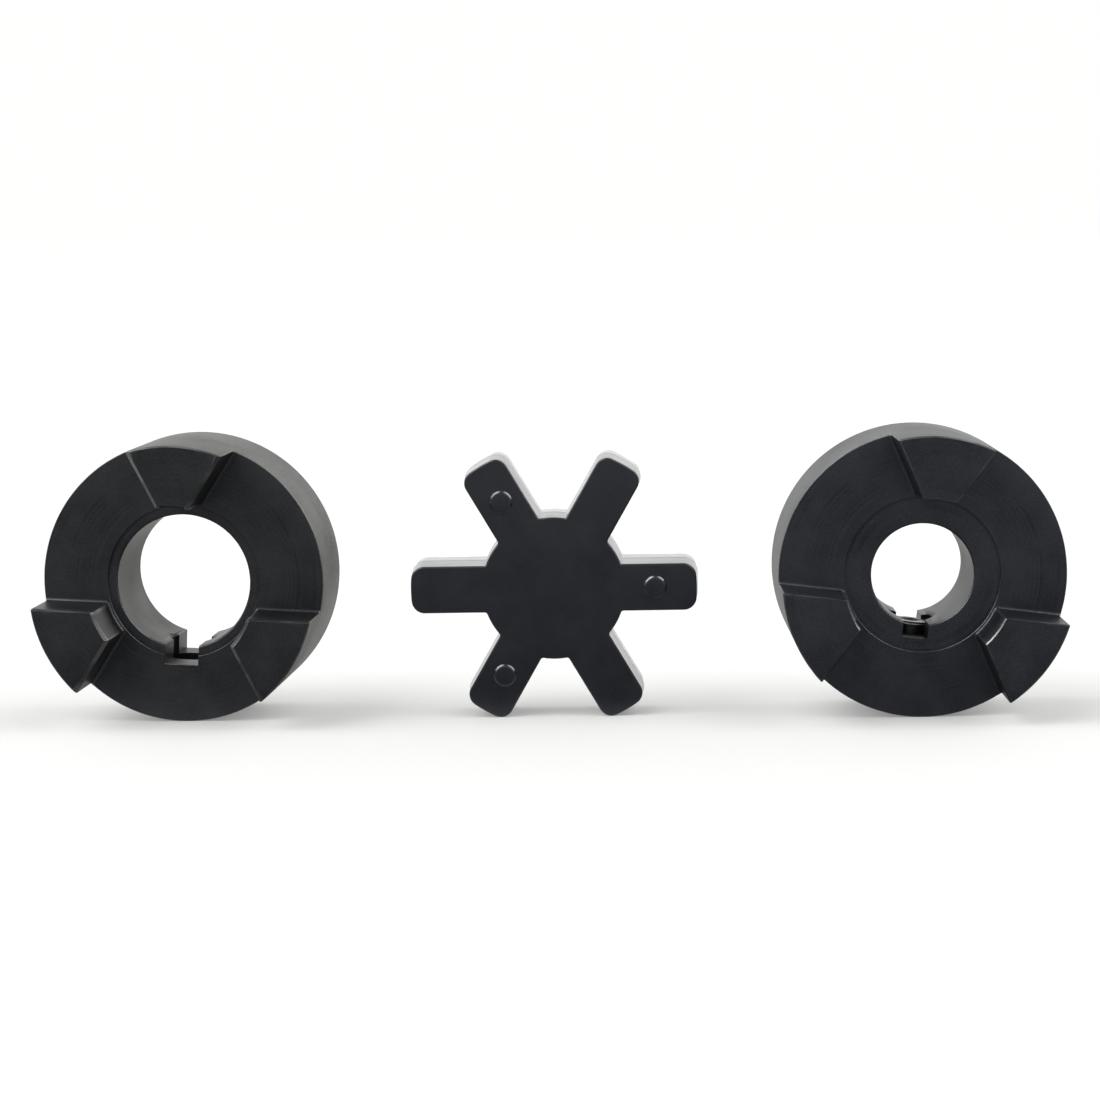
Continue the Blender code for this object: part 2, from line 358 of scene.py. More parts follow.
camera = {
    "lens": 101.93,
    "sensor": 36.0,
    "clip": (0.01, 20.0),
    "place": (0.61 * mm, -584.57 * mm, 101.09 * mm),
    "pitch": math.radians(6.79),  # below the horizon
    "roll": math.radians(-1.13),
}


def makeCamera():
    data = bpy.data.cameras.new("camera")
    data.lens = camera["lens"]
    data.sensor_width = camera["sensor"]
    data.clip_start, data.clip_end = camera["clip"]
    obj = newObject("camera", data)
    forward = Vector((0, math.cos(camera["pitch"]), -math.sin(camera["pitch"])))
    level = Vector((1, 0, 0))
    upright = level.cross(forward)
    c, s = math.cos(camera["roll"]), math.sin(camera["roll"])
    right = level * c + upright * s
    up = upright * c - level * s
    turning = Matrix((right, up, -forward)).transposed().to_4x4()
    obj.matrix_world = Matrix.Translation(camera["place"]) @ turning
    scene.camera = obj
    scene.view_settings.view_transform = "Standard"
    print("camera placed")


# Floor, pale, and dimmed in front of the row for all but the camera: painted shade that the pieces find
# in reflections and bounce light

floorSheet = {
    "radius": 4.0,
    "sides": 96,
    "drop": 0.02 * mm,  # below the lowest point of the object
    "colour": (0.688, 0.691, 0.681),
    "glow": 0.21,  # a sheet lit from below, so the row's shadow stays pale
    "glowColour": (1.0, 1.0, 0.99, 1.0),
    "roughness": 0.9,
    "specular": 0.1,
    # Painted shade: what the dark pieces find of the floor in front of the row, in reflections and
    # bounce light, near it and further out
    "ahead": [(0.15, 0.15, 0.157), (0.38, 0.38, 0.396)],
    "aheadStart": (5 * mm, -20 * mm),  # Y from which the floor is dimmed, and where it is fully
    "aheadReach": (-40 * mm, -360 * mm),  # Y of the near and of the further colour
}


def makeFloor():
    shape = bmesh.new()
    sides, radius = floorSheet["sides"], floorSheet["radius"]
    bmesh.ops.create_circle(shape, cap_ends=True, segments=sides, radius=radius)
    floor = newObject("floor", newMesh("floor", shape))
    floor.data.transform(Matrix.Translation((0, 0, cadBox[0].z - floorSheet["drop"])))
    material = bpy.data.materials.new("paleFloor")
    material.use_nodes = True
    tree = material.node_tree
    shader = tree.nodes["Principled BSDF"]
    depth = partsNode(tree, addNode(tree, "ShaderNodeTexCoord").outputs["Object"])["Y"]
    ahead = rangeNode(tree, depth, *floorSheet["aheadStart"], 0.0, 1.0, smooth=True)
    further = rangeNode(tree, depth, *floorSheet["aheadReach"], 0.0, 1.0)
    seen = addNode(tree, "ShaderNodeLightPath").outputs["Is Camera Ray"]
    # painted shade: the floor turns darker for every ray but the camera's, and its glow goes out there
    paintedShadeShare = mathNode(tree, "MULTIPLY", ahead, mathNode(tree, "SUBTRACT", 1.0, seen))
    paintedShadeColour = colourMix(tree, further, *floorSheet["ahead"])
    colour = colourMix(tree, paintedShadeShare, floorSheet["colour"], paintedShadeColour)
    glow = rangeNode(tree, paintedShadeShare, 0.0, 1.0, floorSheet["glow"], 0.0)
    tree.links.new(colour, shader.inputs["Base Color"])
    tree.links.new(glow, shader.inputs["Emission Strength"])
    shader.inputs["Emission Color"].default_value = floorSheet["glowColour"]
    shader.inputs["Roughness"].default_value = floorSheet["roughness"]
    shader.inputs["Specular IOR Level"].default_value = floorSheet["specular"]
    floor.data.materials.append(material)
    print("floor laid")


# Studio light: a soft box high on each side, a bright background and a dimmer front. The places
# are parts of a direction of length 1, with Y towards the back and Z up

studio = {
    "colour": (1.0, 1.0, 0.995, 1.0),
    "seenGlow": 1.0,  # what the camera itself finds of the background
    "frontGlow": 0.5,
    "backGlow": 1.0,
    "frontToBack": (-0.25, 0.45),
    "topGlow": 0.25,
    "sideToTop": (0.35, 0.85),
    "horizonGlow": 0.72,  # low behind, on top of backGlow, strongest a little above the horizon
    "horizonBehind": (0.1, 0.6),
    "horizonAbove": (0.3, 0.7),
    "horizonFoot": (0.08, 0.3),
    "footShare": 0.55,
    # Each box is a wide soft patch, with a bright strip along its middle that only gloss finds
    "softBoxes": [
        {
            "towards": (-0.62, -0.24, 0.70),
            "spread": math.radians(27),
            "edge": math.radians(16),
            "glow": 2.5,
            "stripGlow": 12.0,
        },
        {
            "towards": (0.66, -0.23, 0.66),
            "spread": math.radians(25),
            "edge": math.radians(16),
            "glow": 1.7,
            "stripGlow": 9.0,
        },
    ],
    "stripReach": (0.42, 0.08),  # half its length and half its width, as sines
    "stripFade": (0.6, 1.4),  # where it starts and ends to fade, as shares of its reach
    "stripSide": 0.05,  # keeps it off the opposite direction
}


def softBoxGlow(tree, direction, glossy, box):
    # The soft patch, and the strip that runs round the line of sight
    middle = Vector(box["towards"]).normalized()
    near = dotNode(tree, direction, middle)
    outer, inner = math.cos(box["spread"] + box["edge"]), math.cos(box["spread"] - box["edge"])
    patch = rangeNode(tree, near, outer, inner, 0.0, box["glow"], smooth=True)
    along = Vector((0, 1, 0)).cross(middle).normalized()
    thisSide = rangeNode(tree, near, 0.0, studio["stripSide"], 0.0, box["stripGlow"])
    strip = mathNode(tree, "MULTIPLY", glossy, thisSide)
    fadeStart, fadeEnd = studio["stripFade"]
    for axis, reach in zip((along, along.cross(middle)), studio["stripReach"]):
        off = mathNode(tree, "ABSOLUTE", dotNode(tree, direction, axis))
        inside = rangeNode(tree, off, fadeStart * reach, fadeEnd * reach, 1.0, 0.0, smooth=True)
        strip = mathNode(tree, "MULTIPLY", strip, inside)
    return patch, strip


def makeStudio():
    world = bpy.data.worlds.new("studio")
    scene.world = world
    world.use_nodes = True
    tree = world.node_tree
    background = tree.nodes["Background"]
    path = addNode(tree, "ShaderNodeLightPath").outputs
    direction = addNode(tree, "ShaderNodeTexCoord").outputs["Generated"]
    parts = partsNode(tree, direction)
    level = rangeNode(tree, parts["Y"], *studio["frontToBack"],
                      studio["frontGlow"], studio["backGlow"], smooth=True)
    high = rangeNode(tree, parts["Z"], *studio["sideToTop"], 0.0, 1.0, smooth=True)
    glow = addNode(tree, "ShaderNodeMix", None, {0: high, 2: level, 3: studio["topGlow"]}).outputs[0]
    horizon = chain(
        tree, "MULTIPLY",
        rangeNode(tree, parts["Y"], *studio["horizonBehind"], 0.0, 1.0, smooth=True),
        rangeNode(tree, parts["Z"], *studio["horizonAbove"], studio["horizonGlow"], 0.0, smooth=True),
        rangeNode(tree, parts["Z"], *studio["horizonFoot"], studio["footShare"], 1.0, smooth=True))
    glow = mathNode(tree, "ADD", glow, horizon)
    for box in studio["softBoxes"]:
        glow = chain(tree, "ADD", glow, *softBoxGlow(tree, direction, path["Is Glossy Ray"], box))
    strength = addNode(tree, "ShaderNodeMix", None,
                       {0: path["Is Camera Ray"], 2: glow, 3: studio["seenGlow"]}).outputs[0]
    tree.links.new(strength, background.inputs["Strength"])
    background.inputs["Color"].default_value = studio["colour"]
    print("studio lit")


# Black oxide iron of the hubs

iron = {
    "dark": (0.029, 0.0307, 0.034),
    "light": (0.075, 0.0775, 0.082),
    "bare": (0.3, 0.295, 0.28),
    "edgeTint": [(0.5, 0.495, 0.48), (0.95, 0.94, 0.915)],  # of grazing reflections
    "metallic": 0.85,
    "roughness": (0.39, 0.44),
    "grainRoughness": 0.05,  # more or less from grain to grain
    "rubbedRoughness": -0.1,
    # Patterns: the width of one patch, the detail and its roughness
    "coarse": (0.75 * mm, 3.0, 0.5),  # turning marks
    "fine": (0.26 * mm, 2.0, 0.5),
    "patch": (5.0 * mm, 5.0, 0.6),
    "wide": (16.0 * mm, 2.0, 0.5),
    "knocks": (6.5 * mm, 3.0, 0.5),
    "grain": (0.32 * mm, 3.0, 0.65),
    "pebble": (0.448 * mm, 2.0, 0.5),
    # What each pattern adds to the tone, from dark, 0, to light, 1
    "patchTone": (0.33, 0.57),
    # wide mottling at random, and also a painted sheen: its direction is set so the left hub's upper
    # left comes out lighter
    "wideToneAndSheen": (0.2, -0.15),
    "pebbleTone": (-0.25, 0.25),
    "grainTone": (-0.18, 0.18),
    "markTone": 0.9,
    # Turning marks show in some places only, hardly on the outside and less towards the jaws' tips
    "markPlaces": (0.45, 0.6),
    "markShare": (0.1, 1.0),
    "markOutside": 0.08,
    "markAtTips": 0.3,
    "markFadeFrom": 2.0 * mm,
    "outsideDepth": 0.4 * mm,
    # Wear along the edges, and the share that is left at the relief, which lies too deep for more
    "rubPlaces": (0.42, 0.6),
    "rubShare": (0.12, 0.4),
    "rubAtRelief": 0.2,
    "patchDepth": 0.004 * mm,
    "markDepth": 0.007 * mm,
    "fineDepth": 0.002 * mm,
    "grainDepth": 0.012 * mm,
    "pebbleDepth": 0.022 * mm,
}


def blackIron(name, place, tint):
    material, tree, shader, local = newMaterial(name, place)
    dark, light = ([part * share for part, share in zip(iron[key], tint)] for key in ("dark", "light"))
    parts = partsNode(tree, local)
    across = vectorNode(tree, parts["X"], parts["Y"])
    radius = addNode(tree, "ShaderNodeVectorMath", {"operation": "LENGTH"}, {0: across}).outputs["Value"]
    # Rings round the axis: the pattern only changes with the radius and along the axis
    ringed = vectorNode(tree, radius, parts["Z"])
    coarse, fine = (noiseNode(tree, ringed, *iron[key]) for key in ("coarse", "fine"))
    patch, wide, knocks, grain, pebble = (
        noiseNode(tree, local, *iron[key]) for key in ("patch", "wide", "knocks", "grain", "pebble"))

    outside = rangeNode(tree, radius, hub["radius"] - iron["outsideDepth"], hub["radius"], 0.0, 1.0)
    turned = mathNode(tree, "MULTIPLY_ADD", outside, iron["markOutside"] - 1.0, 1.0)
    shown = chain(
        tree, "MULTIPLY",
        rangeNode(tree, wide, *iron["markPlaces"], *iron["markShare"], smooth=True),
        turned,
        rangeNode(tree, parts["Z"], iron["markFadeFrom"], hub["jawHeight"], 1.0, iron["markAtTips"]))
    marks = mathNode(tree, "MULTIPLY", mathNode(tree, "SUBTRACT", coarse, noiseMiddle), shown)
    rubbed = chain(
        tree, "MULTIPLY",
        wearNode(tree),
        rangeNode(tree, knocks, *iron["rubPlaces"], *iron["rubShare"], smooth=True),
        rangeNode(tree, radius, hub["relief"], hub["jawInner"], iron["rubAtRelief"], 1.0))

    tone = chain(
        tree, "ADD",
        rangeNode(tree, patch, *noiseSpan, *iron["patchTone"]),
        mathNode(tree, "MULTIPLY", marks, iron["markTone"]),
        # random wide mottling and painted sheen, lighter towards the left hub's upper left
        rangeNode(tree, wide, *noiseCore, *iron["wideToneAndSheen"]),
        mathNode(tree, "MULTIPLY", outside, rangeNode(tree, pebble, *noiseCore, *iron["pebbleTone"])),
        rangeNode(tree, grain, *noiseCore, *iron["grainTone"]))
    colour = colourMix(tree, rubbed, colourMix(tree, tone, dark, light), iron["bare"])
    roughness = chain(
        tree, "ADD",
        rangeNode(tree, patch, *noiseSpan, *iron["roughness"]),
        rangeNode(tree, grain, 0.0, 1.0, -iron["grainRoughness"], iron["grainRoughness"]),
        mathNode(tree, "MULTIPLY", rubbed, iron["rubbedRoughness"]))
    normal = bumpNodes(tree, [
        (patch, iron["patchDepth"]),
        (marks, iron["markDepth"]),
        (mathNode(tree, "MULTIPLY", fine, turned), iron["fineDepth"]),
        (grain, iron["grainDepth"]),
        (mathNode(tree, "MULTIPLY", pebble, outside), iron["pebbleDepth"]),
    ])
    tree.links.new(colour, shader.inputs["Base Color"])
    tree.links.new(roughness, shader.inputs["Roughness"])
    tree.links.new(colourMix(tree, tone, *iron["edgeTint"]), shader.inputs["Specular Tint"])
    tree.links.new(normal, shader.inputs["Normal"])
    shader.inputs["Metallic"].default_value = iron["metallic"]
    return material


# Moulded black rubber of the spider

rubber = {
    "dark": (0.0105, 0.0125, 0.0175),
    "light": (0.018, 0.021, 0.028),
    "dust": (0.05, 0.05, 0.05),
    "roughness": (0.11, 0.17),
    "specular": 0.55,
    # Patterns: the width of one patch, the detail and its roughness
    "patch": (7.0 * mm, 4.0, 0.55),
    "peel": (0.5 * mm, 2.0, 0.5),
    "speck": (0.35 * mm, 1.0, 0.5),
    "scuff": (1.8 * mm, 5.0, 0.7),
    "draw": (0.9 * mm, 4.0, 0.7),  # lines that the mould leaves along the sides
    "speckPlaces": (0.72, 0.8),
    "speckDust": 0.5,
    "dustPlaces": (0.45, 0.6),
    "edgeDust": 0.12,
    "scuffPlaces": (0.4, 0.7),
    "scuffRoughness": 0.06,
    "patchDepth": 0.03 * mm,
    "peelDepth": 0.004 * mm,
    "drawDepth": 0.005 * mm,
}


def blackRubber(name, place):
    material, tree, shader, local = newMaterial(name, place)
    patch, peel, speck, scuff = (
        noiseNode(tree, local, *rubber[key]) for key in ("patch", "peel", "speck", "scuff"))
    # Only the height over the parting line changes this one, so the flat faces stay clear of it
    height = partsNode(tree, local)["Z"]
    drawn = noiseNode(tree, vectorNode(tree, z=height), *rubber["draw"])
    dusty = mathNode(
        tree, "MULTIPLY",
        rangeNode(tree, speck, *rubber["speckPlaces"], 0.0, rubber["speckDust"]),
        rangeNode(tree, scuff, *rubber["dustPlaces"], 0.0, 1.0))
    edgeDust = mathNode(tree, "MULTIPLY", wearNode(tree), rubber["edgeDust"])
    dusty = mathNode(tree, "MAXIMUM", dusty, edgeDust)
    tone = rangeNode(tree, patch, *noiseSpan, 0.0, 1.0)
    colour = colourMix(tree, tone, rubber["dark"], rubber["light"])
    roughness = mathNode(
        tree, "ADD",
        rangeNode(tree, patch, *noiseSpan, *rubber["roughness"]),
        rangeNode(tree, scuff, *rubber["scuffPlaces"], 0.0, rubber["scuffRoughness"]))
    normal = bumpNodes(tree, [
        (patch, rubber["patchDepth"]),
        (peel, rubber["peelDepth"]),
        (drawn, rubber["drawDepth"]),
    ])
    tree.links.new(colourMix(tree, dusty, colour, rubber["dust"]), shader.inputs["Base Color"])
    tree.links.new(roughness, shader.inputs["Roughness"])
    tree.links.new(normal, shader.inputs["Normal"])
    shader.inputs["Specular IOR Level"].default_value = rubber["specular"]
    return material


# Hardened black steel of the set screws

steel = {
    "dark": (0.02, 0.02, 0.022),
    "light": (0.042, 0.042, 0.043),
    "bare": (0.3, 0.295, 0.285),
    "metallic": 0.85,
    "roughness": (0.26, 0.42),
    # Patterns: the width of one patch, the detail and its roughness
    "patch": (1.6 * mm, 4.0, 0.5),
    "scratch": (0.3 * mm, 3.0, 0.5),
    "scratchDepth": 0.006 * mm,
    "rubPlaces": (0.3, 0.6),
    "rubShare": (0.35, 1.0),
}


def blackSteel(name, place):
    material, tree, shader, local = newMaterial(name, place)
    patch, scratch = (noiseNode(tree, local, *steel[key]) for key in ("patch", "scratch"))
    rubbed = mathNode(tree, "MULTIPLY", wearNode(tree),
                      rangeNode(tree, patch, *steel["rubPlaces"], *steel["rubShare"]))
    tone = rangeNode(tree, patch, *noiseSpan, 0.0, 1.0)
    colour = colourMix(tree, tone, steel["dark"], steel["light"])
    roughness = rangeNode(tree, scratch, *noiseSpan, *steel["roughness"])
    tree.links.new(colourMix(tree, rubbed, colour, steel["bare"]), shader.inputs["Base Color"])
    tree.links.new(roughness, shader.inputs["Roughness"])
    tree.links.new(bumpNodes(tree, [(scratch, steel["scratchDepth"])]), shader.inputs["Normal"])
    shader.inputs["Metallic"].default_value = steel["metallic"]
    return material


# Rods made by one node tree: threaded for the set screws, and plain for what drills their holes

thread = {
    "pitch": 1.411 * mm,
    "crest": 3.95 * mm,
    "root": 3.15 * mm,
    "rowsPerPitch": 12,
    "sides": 72,
    "flank": (0.14, 0.88),  # from the root's middle, 0, to the crest's, 1, where the flank lies
    "runOut": 0.6,  # share of the plain end, from its tip, that has no groove at all
    "leastFade": 0.001 * mm,  # keeps the two ends of the groove's fade apart
}


def threadTree():
    tree, given = newTree("threadedRod", {
        "Length": "Float", "Pitch": "Float", "Crest": "Float", "Root": "Float",
        "End Chamfer": "Float", "Plain End": "Float", "Rows": "Int", "Sides": "Int",
        "Material": "Material",
    })
    top = vectorNode(tree, z=given["Length"])
    line = addNode(tree, "GeometryNodeCurvePrimitiveLine", None, {"End": top})
    line = addNode(tree, "GeometryNodeResampleCurve", None,
                   {"Curve": line.outputs[0], "Count": given["Rows"]})
    ring = addNode(tree, "GeometryNodeCurvePrimitiveCircle", None,
                   {"Radius": 1.0, "Resolution": given["Sides"]})
    rod = addNode(tree, "GeometryNodeCurveToMesh", None,
                  {"Curve": line.outputs[0], "Profile Curve": ring.outputs[0], "Fill Caps": True})
    parts = partsNode(tree, addNode(tree, "GeometryNodeInputPosition").outputs[0])
    x, y, z = parts[0], parts[1], parts[2]
    around = mathNode(tree, "DIVIDE", mathNode(tree, "ARCTAN2", y, x), fullTurn)
    phase = mathNode(tree, "SUBTRACT", mathNode(tree, "DIVIDE", z, given["Pitch"]), around)
    phase = mathNode(tree, "FRACT", phase)
    flank = mathNode(tree, "ABSOLUTE", mathNode(tree, "MULTIPLY_ADD", phase, 2.0, -1.0))
    flank = rangeNode(tree, flank, *thread["flank"], 0.0, 1.0)
    # The groove runs out towards the top end, where the rod stays plain
    fromTop = mathNode(tree, "SUBTRACT", given["Length"], z)
    fadeEnd = mathNode(tree, "ADD", given["Plain End"], thread["leastFade"])
    fadeStart = mathNode(tree, "MULTIPLY", given["Plain End"], thread["runOut"])
    depth = rangeNode(tree, fromTop, fadeStart, fadeEnd, 0.0, 1.0)
    share = mathNode(tree, "MULTIPLY", mathNode(tree, "SUBTRACT", 1.0, flank), depth)
    height = mathNode(tree, "SUBTRACT", given["Crest"], given["Root"])
    radius = mathNode(tree, "SUBTRACT", given["Crest"], mathNode(tree, "MULTIPLY", height, share))
    end = mathNode(tree, "SUBTRACT", given["Crest"], given["End Chamfer"])
    for fromEnd in (z, fromTop):
        radius = mathNode(tree, "MINIMUM", radius, mathNode(tree, "ADD", end, fromEnd))
    newX, newY = (mathNode(tree, "MULTIPLY", part, radius) for part in (x, y))
    place = vectorNode(tree, newX, newY, z)
    rod = addNode(tree, "GeometryNodeSetPosition", None,
                  {"Geometry": rod.outputs[0], "Position": place})
    return endTree(tree, rod.outputs[0], given["Material"])


def makeRod(name, length, crest, root, chamfer=0.0, plainEnd=0.0):
    rows = round(length / thread["pitch"] * thread["rowsPerPitch"])
    return grow(name, threads, {
        "Length": length, "Pitch": thread["pitch"], "Crest": crest, "Root": root,
        "End Chamfer": chamfer, "Plain End": plainEnd, "Rows": rows, "Sides": thread["sides"],
    })


# Hubs

hub = {
    "jaws": 3,
    "radius": 26.8 * mm,
    "length": 20.6 * mm,
    "jawHeight": 12.2 * mm,
    "jawInner": 15.2 * mm,
    "wallOffset": 4.8 * mm,  # from the middle line of the leg that bears on the wall
    "rootFillet": 0.6 * mm,
    "tipEase": 0.14 * mm,  # at both edges of the tips' flat cut
    "crownRound": 0.3 * mm,  # along the jaws' outer edge
    "innerCorner": 0.42 * mm,
    "leastCorner": 0.06 * mm,  # what the cut leaves of it at the tip
    "upperCut": 0.4,  # share of the cut on the two walls that face up
    "upwards": 0.99,  # a wall faces up from this sine on
    "outerCorner": 0.22 * mm,
    "rimRound": 0.14 * mm,
    "rimToolReach": (0.5 * mm, 0.3 * mm),  # past the rim, and over the base face
    "relief": 14.5 * mm,
    "reliefDepth": 0.4 * mm,
    "backChamfer": 0.6 * mm,
    "boreChamfer": 0.25 * mm,
    "edgeEase": 0.08 * mm,  # at the ends of the chamfers
    "keyEase": 0.1 * mm,
    "drillRadius": 4.15 * mm,  # of the set screw's hole
    "drillEnd": 0.6,  # share of the bore's radius where the drill ends
    "mouth": (4.87 * mm, 3.42 * mm),  # radii of the hole's countersink, at the bore and deepest
    "overrun": 2.0 * mm,  # of a tool past the surface that it cuts
    "flatArea": 2.5 * mm * mm,
    "narrowEdge": 0.11 * mm,
    "steps": 252,
    "gapSteps": 14,
    "cornerSteps": 4,
    "filletSteps": 7,
    "rimSteps": 60,
    "holeSteps": 72,
    "pieces": {
        "hub_left": {
            "turn": math.radians(-5.2),
            "roll": math.radians(-3.1),
            "bore": 12.7 * mm,
            "keyWidth": 6.35 * mm,
            "keyDepth": 3.2 * mm,
            "screwRecess": 0.6 * mm,
            "tipCut": 0.64 * mm,
            "cutWear": 1.0,
            "tint": (1.0, 1.0, 1.0),  # of the finish
        },
        "hub_right": {
            "turn": math.radians(-0.5),
            "roll": math.radians(-7.5),
            "bore": 9.525 * mm,
            "keyWidth": 4.76 * mm,
            "keyDepth": 2.5 * mm,
            "screwRecess": 9.0 * mm,
            "tipCut": 0.28 * mm,
            "cutWear": 0.2,
            "tint": (1.06, 1.11, 1.2),
        },
    },
}
jawPitch = fullTurn / hub["jaws"]
jawToLeg = jawPitch / 4  # from a jaw's middle to the leg beside it


def hubPlace(node):
    # The solid's own extent across and along its axis gives the middle of its base face
    turn = hub["pieces"][node]["turn"]
    side = Vector((math.cos(turn), math.sin(turn), 0))
    back = Vector((-math.sin(turn), math.cos(turn), 0))
    points = [vert.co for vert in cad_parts[node].data.vertices]
    across = [point.dot(side) for point in points]
    along = max(point.dot(back) for point in points) - hub["length"]
    center = side * (min(across) + max(across)) / 2 + back * along
    center.z = hub["radius"]
    return placed(center, turn, hub["pieces"][node]["roll"])


def hubBlank(name, bore):
    c = hub["boreChamfer"]
    back = -hub["length"]
    ease = hub["edgeEase"]
    return latheMesh(name, easedProfile([
        (bore + c, back, ease),
        (hub["radius"] - hub["backChamfer"], back, 2 * ease),
        (hub["radius"], back + hub["backChamfer"], 2 * ease),
        (hub["radius"], hub["jawHeight"], hub["crownRound"]),
        (hub["relief"] + ease, hub["jawHeight"], 0),
        (hub["relief"] + ease, 0, 0),
        (hub["relief"], -ease, 0),
        (hub["relief"], -hub["reliefDepth"], 0),
        (bore + c, -hub["reliefDepth"], ease),
        (bore, -hub["reliefDepth"] - c, ease),
        (bore, back + c, ease),
    ]), hub["steps"])


def wallEnd(leg, side, growth):
    # One jaw wall from outside the rim to the jaw's inner face, its two corners rounded; side is +1
    # where the jaw lies anticlockwise of the leg
    inner = hub["jawInner"] + growth
    along = Vector((math.cos(leg), math.sin(leg)))
    away = Vector((-math.sin(leg), math.cos(leg))) * side
    outward = math.atan2(-away.y, -away.x)  # from a corner's centre to the wall
    facesUp = math.sin(outward) > hub["upwards"]
    offset = hub["wallOffset"] + growth * (hub["upperCut"] if facesUp and growth > 0 else 1)

    def corner(radius, reach, towardsAxis):
        center = along * math.sqrt(reach**2 - (offset + radius) ** 2) + away * (offset + radius)
        facing = -center if towardsAxis else center
        target = math.atan2(facing.y, facing.x)
        swing = (target - outward + halfTurn) % fullTurn - halfTurn
        return arcPoints(center, radius, outward + swing, outward, hub["cornerSteps"])

    rim = corner(hub["outerCorner"], hub["radius"] - hub["outerCorner"], False)
    ease = max(hub["innerCorner"] - growth, hub["leastCorner"])
    face = corner(ease, inner + ease, True)
    clear = Vector(rim[0]).normalized() * (hub["radius"] + hub["overrun"])
    return [tuple(clear)] + rim + face[::-1]


def gapArc(start, end, radius):
    # Points round the axis, anticlockwise between the directions of two points
    first = math.atan2(start[1], start[0])
    swing = (math.atan2(end[1], end[0]) - first) % fullTurn
    return arcPoints((0, 0), radius, first, first + swing, hub["gapSteps"])[1:-1]


def gapOutline(growth):
    # The space between and inside the jaws, with its walls moved out by growth
    points = []
    for k in range(hub["jaws"]):
        jaw = quarterTurn + fullTurn * k / hub["jaws"]
        start = wallEnd(jaw + jawToLeg, -1, growth)
        end = wallEnd(jaw + jawPitch - jawToLeg, 1, growth)
        following = wallEnd(jaw + jawPitch + jawToLeg, -1, growth)
        points += gapArc(start[0], end[0], hub["radius"] + hub["overrun"])
        points += end
        points += gapArc(end[-1], following[-1], hub["jawInner"] + growth)
        points += following[::-1]
    return points


def jawGapTool(cut):
    fillet, steps = hub["rootFillet"], hub["filletSteps"]
    levels = []
    for i in range(steps + 1):
        a = quarterTurn * i / steps
        levels.append((gapOutline(-fillet * (1 - math.sin(a))), fillet * (1 - math.cos(a))))
    top = hub["jawHeight"]
    far = 3 * cut  # gives the easing its directions, and is left out again
    bevel = easedProfile([
        (0, top - far, 0), (0, top - cut, hub["tipEase"]), (cut, top, hub["tipEase"]), (far, top, 0),
    ])[1:-1]
    levels += [(gapOutline(growth), height) for growth, height in bevel]
    levels.append((gapOutline(bevel[-1][0]), top + hub["overrun"]))
    return newObject("jawGapTool", loftMesh("jawGapTool", levels))


def rimTools():
    # One for each gap, rounding the base face's outer edge
    c = hub["rimRound"]
    outside, above = hub["rimToolReach"]
    clear = hub["radius"] + outside
    section = arcPoints((hub["radius"] - c, -c), c, 0, quarterTurn, hub["cornerSteps"])
    section = [(clear, above), (clear, -c), *section, (hub["radius"] - c, above)]
    foot = math.asin((hub["wallOffset"] - hub["rootFillet"]) / hub["radius"])
    tools = []
    for k in range(hub["jaws"]):
        jaw = quarterTurn + fullTurn * k / hub["jaws"]
        first = jaw + jawToLeg - foot
        last = jaw + jawPitch - jawToLeg + foot
        outlines = []
        for s in range(hub["rimSteps"] + 1):
            a = first + (last - first) * s / hub["rimSteps"]
            outlines.append([(r * math.cos(a), r * math.sin(a), z) for r, z in section])
        tools.append(newObject(f"rimTool{k}", bridgedMesh(f"rimTool{k}", outlines)))
    return tools


def keywayTool(values):
    floor = values["bore"] + values["keyDepth"]
    half = values["keyWidth"] / 2
    ease, over = hub["keyEase"], hub["overrun"]

    def outline(grown):
        left, right, bottom = -half - grown, half + grown, -floor - grown
        return [(left, bottom), (right, bottom), (right, 0), (left, 0)]

    back = -hub["length"]
    levels = [(outline(ease), back - over), (outline(ease), back), (outline(0), back + ease),
              (outline(0), -ease), (outline(ease), 0), (outline(ease), over)]
    return newObject("keywayTool", loftMesh("keywayTool", levels))


def holeTools(values):
    # The set screw's hole and its countersunk mouth at the bore
    mouth, deepest = hub["mouth"]
    wall = math.sqrt(values["bore"] ** 2 - mouth**2)
    foot = wall + mouth - deepest
    profile = [(0, 0), (mouth, 0), (mouth, wall), (deepest, foot), (0, foot)]
    mesh = latheMesh("countersink", profile, hub["holeSteps"], closed=False)
    countersink = newObject("countersink", mesh)
    across = Matrix.Translation((0, 0, -hub["length"] / 2))
    countersink.matrix_world = across @ Matrix.Rotation(quarterTurn, 4, "X")
    reach = hub["radius"] + hub["overrun"]
    # Its root is as wide as its crest, so this rod is plain
    radius = hub["drillRadius"]
    drill = makeRod("drill", reach - hub["drillEnd"] * values["bore"], radius, radius)
    below = Matrix.Translation((0, -reach, 0))
    drill.matrix_world = across @ below @ Matrix.Rotation(-quarterTurn, 4, "X")
    return [countersink, drill]


def makeHub(name, node):
    values = hub["pieces"][node]
    obj = newObject(name, hubBlank(name, values["bore"]))
    combine(obj, [jawGapTool(values["tipCut"]), *rimTools(), keywayTool(values), *holeTools(values)])
    place = hubPlace(node)
    material = blackIron(name + "Iron", place, values["tint"])
    finishSurface(obj, material, hub["flatArea"], hub["narrowEdge"], values["cutWear"])
    handIn(obj, place, node)


# Set screws

screw = {
    "length": 7.94 * mm,
    "chamfer": 0.4 * mm,
    "cupRadius": 2.3 * mm,
    "cupDepth": 0.9 * mm,
    "cupRound": 0.12 * mm,
    "cupFlare": 0.02 * mm,
    "socket": 3.97 * mm,  # across the flats
    "socketDepth": 3.6 * mm,
    "socketFlare": 0.25 * mm,
    "plainPoint": 4.0 * mm,
    "overrun": 0.5 * mm,  # of a tool past the end that it cuts
    "flatArea": 1.2 * mm * mm,
    "narrowEdge": 0.12 * mm,
    "steps": 72,
}


def hexagon(corner):
    return arcPoints((0, 0), corner, 0, fullTurn * 5 / 6, 5)


